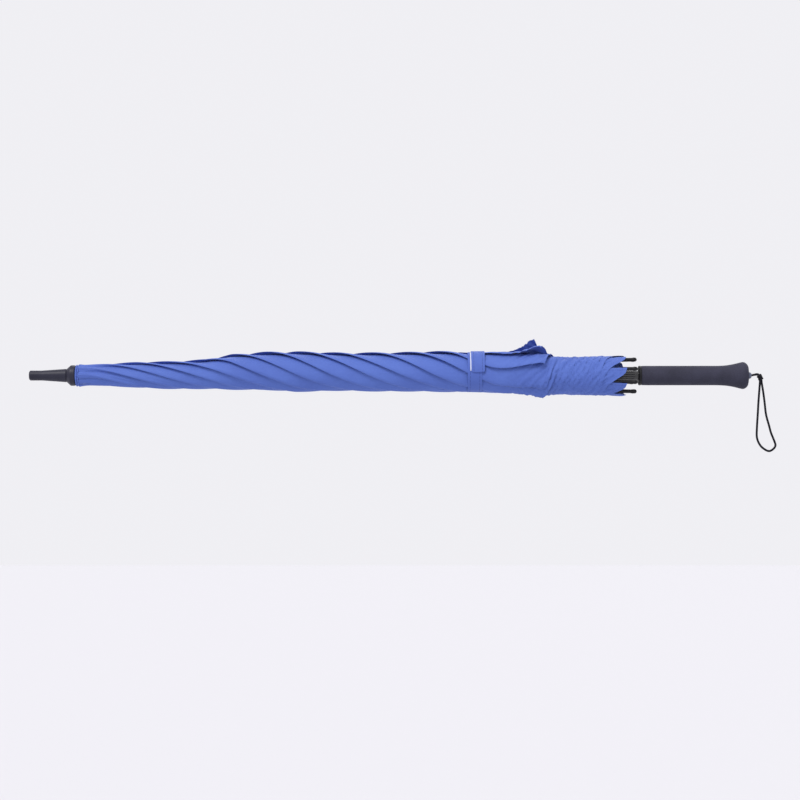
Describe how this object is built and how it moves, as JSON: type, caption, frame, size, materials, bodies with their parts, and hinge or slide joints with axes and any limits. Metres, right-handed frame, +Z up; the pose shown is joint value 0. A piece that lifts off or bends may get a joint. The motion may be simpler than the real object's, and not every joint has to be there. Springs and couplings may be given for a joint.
{
  "type": "stick umbrella",
  "caption": "Long non-folding umbrella, furled and tied, with a straight foam grip, wrist cord, sliding runner, hinged ribs and stretchers.",
  "frame": {"origin": "on the shaft's axis, half way along the grip", "axes": "+X along the shaft towards the end of the handle, +Z up, -Y towards the viewer"},
  "size_m": [1.0385, 0.056, 0.1555],
  "materials": {
    "canopy_cloth": "woven pongee, soft sheen",
    "strap_cloth": "double-layer woven tape with stitched edges",
    "cord_braid": "braided polyester",
    "foam_grip": "matt moulded foam",
    "navy_plastic": "satin moulded plastic",
    "black_plastic": "satin moulded plastic",
    "joint_nylon": "plain moulded nylon",
    "plug_plastic": "blue-grey moulded plastic",
    "rib_glassfibre": "black pultruded glass fibre",
    "black_shaft": "gloss black enamel on a drawn tube",
    "steel": "zinc-plated steel wire"
  },
  "bodies": {
    "shaft": {"shaft_tube": "black_shaft", "top_plug": "joint_nylon", "ferrule": "navy_plastic", "crown_cap": "navy_plastic", "rosette": "canopy_cloth", "crown_notch": "black_plastic", "crown_wire": "steel", "crown_pin": "steel", "handle_core": "joint_nylon", "handle_grip": "foam_grip", "handle_lip": "black_plastic", "end_plug": "plug_plastic", "handle_pin": "steel", "wrist_cord": "cord_braid", "cord_knot": "cord_braid"},
    "runner": {"runner": "black_plastic", "runner_wire": "steel"},
    "top_catch": {"top_catch": "steel"},
    "bottom_catch": {"bottom_catch": "steel"},
    "rib_1": {"rib_1": "rib_glassfibre", "rib_tip_1": "black_plastic", "rib_joint_1": "joint_nylon"},
    "stretcher_1": {"stretcher_1": "steel"},
    "gore_1": {"canopy_gore_1": "canopy_cloth", "tie_strap": "strap_cloth"},
    "rib_2": {"rib_2": "rib_glassfibre", "rib_tip_2": "black_plastic", "rib_joint_2": "joint_nylon"},
    "stretcher_2": {"stretcher_2": "steel"},
    "gore_2": {"canopy_gore_2": "canopy_cloth"},
    "rib_3": {"rib_3": "rib_glassfibre", "rib_tip_3": "black_plastic", "rib_joint_3": "joint_nylon"},
    "stretcher_3": {"stretcher_3": "steel"},
    "gore_3": {"canopy_gore_3": "canopy_cloth"},
    "rib_4": {"rib_4": "rib_glassfibre", "rib_tip_4": "black_plastic", "rib_joint_4": "joint_nylon"},
    "stretcher_4": {"stretcher_4": "steel"},
    "gore_4": {"canopy_gore_4": "canopy_cloth"},
    "rib_5": {"rib_5": "rib_glassfibre", "rib_tip_5": "black_plastic", "rib_joint_5": "joint_nylon"},
    "stretcher_5": {"stretcher_5": "steel"},
    "gore_5": {"canopy_gore_5": "canopy_cloth"},
    "rib_6": {"rib_6": "rib_glassfibre", "rib_tip_6": "black_plastic", "rib_joint_6": "joint_nylon"},
    "stretcher_6": {"stretcher_6": "steel"},
    "gore_6": {"canopy_gore_6": "canopy_cloth"},
    "rib_7": {"rib_7": "rib_glassfibre", "rib_tip_7": "black_plastic", "rib_joint_7": "joint_nylon"},
    "stretcher_7": {"stretcher_7": "steel"},
    "gore_7": {"canopy_gore_7": "canopy_cloth"},
    "rib_8": {"rib_8": "rib_glassfibre", "rib_tip_8": "black_plastic", "rib_joint_8": "joint_nylon"},
    "stretcher_8": {"stretcher_8": "steel"},
    "gore_8": {"canopy_gore_8": "canopy_cloth"}
  },
  "joints": [
    {"name": "umbrella_open", "type": "hinge", "parent": "shaft", "child": "rib_1", "pos_m": [-0.847, 0.00905, 0.00375], "axis": [0, -0.3827, 0.9239], "range_deg": [0, 65]},
    {"name": "stretcher_1_pivot", "type": "hinge", "parent": "rib_1", "child": "stretcher_1", "pos_m": [-0.51697, 0.01039, 0.0043], "axis": [0, -0.3827, 0.9239], "range_deg": [-130, 0]},
    {"name": "gore_1_spread", "type": "hinge", "parent": "rib_1", "child": "gore_1", "pos_m": [-0.847, 0.00905, 0.00375], "axis": [0.0181, -0.8475, -0.5305], "range_deg": [0, 40.94], "deforming": ["canopy_gore_1", "tie_strap"]},
    {"name": "rib_2_swing", "type": "hinge", "parent": "shaft", "child": "rib_2", "pos_m": [-0.847, 0.00375, 0.00905], "axis": [0, -0.9239, 0.3827], "range_deg": [0, 65]},
    {"name": "stretcher_2_pivot", "type": "hinge", "parent": "rib_2", "child": "stretcher_2", "pos_m": [-0.51697, 0.0043, 0.01039], "axis": [0, -0.9239, 0.3827], "range_deg": [-130, 0]},
    {"name": "gore_2_spread", "type": "hinge", "parent": "rib_2", "child": "gore_2", "pos_m": [-0.847, 0.00375, 0.00905], "axis": [0.0181, -0.2241, -0.9744], "range_deg": [0, 40.94], "deforming": ["canopy_gore_2"]},
    {"name": "rib_3_swing", "type": "hinge", "parent": "shaft", "child": "rib_3", "pos_m": [-0.847, -0.00375, 0.00905], "axis": [0, -0.9239, -0.3827], "range_deg": [0, 65]},
    {"name": "stretcher_3_pivot", "type": "hinge", "parent": "rib_3", "child": "stretcher_3", "pos_m": [-0.51697, -0.0043, 0.01039], "axis": [0, -0.9239, -0.3827], "range_deg": [-130, 0]},
    {"name": "gore_3_spread", "type": "hinge", "parent": "rib_3", "child": "gore_3", "pos_m": [-0.847, -0.00375, 0.00905], "axis": [0.0181, 0.5305, -0.8475], "range_deg": [0, 40.94], "deforming": ["canopy_gore_3"]},
    {"name": "rib_4_swing", "type": "hinge", "parent": "shaft", "child": "rib_4", "pos_m": [-0.847, -0.00905, 0.00375], "axis": [0, -0.3827, -0.9239], "range_deg": [0, 65]},
    {"name": "stretcher_4_pivot", "type": "hinge", "parent": "rib_4", "child": "stretcher_4", "pos_m": [-0.51697, -0.01039, 0.0043], "axis": [0, -0.3827, -0.9239], "range_deg": [-130, 0]},
    {"name": "gore_4_spread", "type": "hinge", "parent": "rib_4", "child": "gore_4", "pos_m": [-0.847, -0.00905, 0.00375], "axis": [0.0181, 0.9744, -0.2241], "range_deg": [0, 40.94], "deforming": ["canopy_gore_4"]},
    {"name": "rib_5_swing", "type": "hinge", "parent": "shaft", "child": "rib_5", "pos_m": [-0.847, -0.00905, -0.00375], "axis": [0, 0.3827, -0.9239], "range_deg": [0, 65]},
    {"name": "stretcher_5_pivot", "type": "hinge", "parent": "rib_5", "child": "stretcher_5", "pos_m": [-0.51697, -0.01039, -0.0043], "axis": [0, 0.3827, -0.9239], "range_deg": [-130, 0]},
    {"name": "gore_5_spread", "type": "hinge", "parent": "rib_5", "child": "gore_5", "pos_m": [-0.847, -0.00905, -0.00375], "axis": [0.0181, 0.8475, 0.5305], "range_deg": [0, 40.94], "deforming": ["canopy_gore_5"]},
    {"name": "rib_6_swing", "type": "hinge", "parent": "shaft", "child": "rib_6", "pos_m": [-0.847, -0.00375, -0.00905], "axis": [0, 0.9239, -0.3827], "range_deg": [0, 65]},
    {"name": "stretcher_6_pivot", "type": "hinge", "parent": "rib_6", "child": "stretcher_6", "pos_m": [-0.51697, -0.0043, -0.01039], "axis": [0, 0.9239, -0.3827], "range_deg": [-130, 0]},
    {"name": "gore_6_spread", "type": "hinge", "parent": "rib_6", "child": "gore_6", "pos_m": [-0.847, -0.00375, -0.00905], "axis": [0.0181, 0.2241, 0.9744], "range_deg": [0, 40.94], "deforming": ["canopy_gore_6"]},
    {"name": "rib_7_swing", "type": "hinge", "parent": "shaft", "child": "rib_7", "pos_m": [-0.847, 0.00375, -0.00905], "axis": [0, 0.9239, 0.3827], "range_deg": [0, 65]},
    {"name": "stretcher_7_pivot", "type": "hinge", "parent": "rib_7", "child": "stretcher_7", "pos_m": [-0.51697, 0.0043, -0.01039], "axis": [0, 0.9239, 0.3827], "range_deg": [-130, 0]},
    {"name": "gore_7_spread", "type": "hinge", "parent": "rib_7", "child": "gore_7", "pos_m": [-0.847, 0.00375, -0.00905], "axis": [0.0181, -0.5305, 0.8475], "range_deg": [0, 40.94], "deforming": ["canopy_gore_7"]},
    {"name": "rib_8_swing", "type": "hinge", "parent": "shaft", "child": "rib_8", "pos_m": [-0.847, 0.00905, -0.00375], "axis": [0, 0.3827, 0.9239], "range_deg": [0, 65]},
    {"name": "stretcher_8_pivot", "type": "hinge", "parent": "rib_8", "child": "stretcher_8", "pos_m": [-0.51697, 0.01039, -0.0043], "axis": [0, 0.3827, 0.9239], "range_deg": [-130, 0]},
    {"name": "gore_8_spread", "type": "hinge", "parent": "rib_8", "child": "gore_8", "pos_m": [-0.847, 0.00905, -0.00375], "axis": [0.0181, -0.9744, 0.2241], "range_deg": [0, 40.94], "deforming": ["canopy_gore_8"]},
    {"name": "runner_pivot", "type": "hinge", "parent": "stretcher_1", "child": "runner", "pos_m": [-0.18694, 0.00905, 0.00375], "axis": [0, -0.3827, 0.9239], "range_deg": [0, 65]},
    {"name": "top_catch_press", "type": "slide", "parent": "shaft", "child": "top_catch", "axis": [0, 1, 0], "range_m": [0, 0.002], "stiffness_N_per_m": 150, "springref_m": -0.002},
    {"name": "bottom_catch_press", "type": "slide", "parent": "shaft", "child": "bottom_catch", "axis": [0, 1, 0], "range_m": [0, 0.002], "stiffness_N_per_m": 150, "springref_m": -0.002}
  ],
  "couplings": [
    {"joint": "stretcher_1_pivot", "follows": "umbrella_open", "ratio": -2},
    {"joint": "gore_1_spread", "follows": "umbrella_open", "ratio": 0.62988},
    {"joint": "rib_2_swing", "follows": "umbrella_open", "ratio": 1},
    {"joint": "stretcher_2_pivot", "follows": "umbrella_open", "ratio": -2},
    {"joint": "gore_2_spread", "follows": "umbrella_open", "ratio": 0.62988},
    {"joint": "rib_3_swing", "follows": "umbrella_open", "ratio": 1},
    {"joint": "stretcher_3_pivot", "follows": "umbrella_open", "ratio": -2},
    {"joint": "gore_3_spread", "follows": "umbrella_open", "ratio": 0.62988},
    {"joint": "rib_4_swing", "follows": "umbrella_open", "ratio": 1},
    {"joint": "stretcher_4_pivot", "follows": "umbrella_open", "ratio": -2},
    {"joint": "gore_4_spread", "follows": "umbrella_open", "ratio": 0.62988},
    {"joint": "rib_5_swing", "follows": "umbrella_open", "ratio": 1},
    {"joint": "stretcher_5_pivot", "follows": "umbrella_open", "ratio": -2},
    {"joint": "gore_5_spread", "follows": "umbrella_open", "ratio": 0.62988},
    {"joint": "rib_6_swing", "follows": "umbrella_open", "ratio": 1},
    {"joint": "stretcher_6_pivot", "follows": "umbrella_open", "ratio": -2},
    {"joint": "gore_6_spread", "follows": "umbrella_open", "ratio": 0.62988},
    {"joint": "rib_7_swing", "follows": "umbrella_open", "ratio": 1},
    {"joint": "stretcher_7_pivot", "follows": "umbrella_open", "ratio": -2},
    {"joint": "gore_7_spread", "follows": "umbrella_open", "ratio": 0.62988},
    {"joint": "rib_8_swing", "follows": "umbrella_open", "ratio": 1},
    {"joint": "stretcher_8_pivot", "follows": "umbrella_open", "ratio": -2},
    {"joint": "gore_8_spread", "follows": "umbrella_open", "ratio": 0.62988},
    {"joint": "runner_pivot", "follows": "umbrella_open", "ratio": 1}
  ]
}
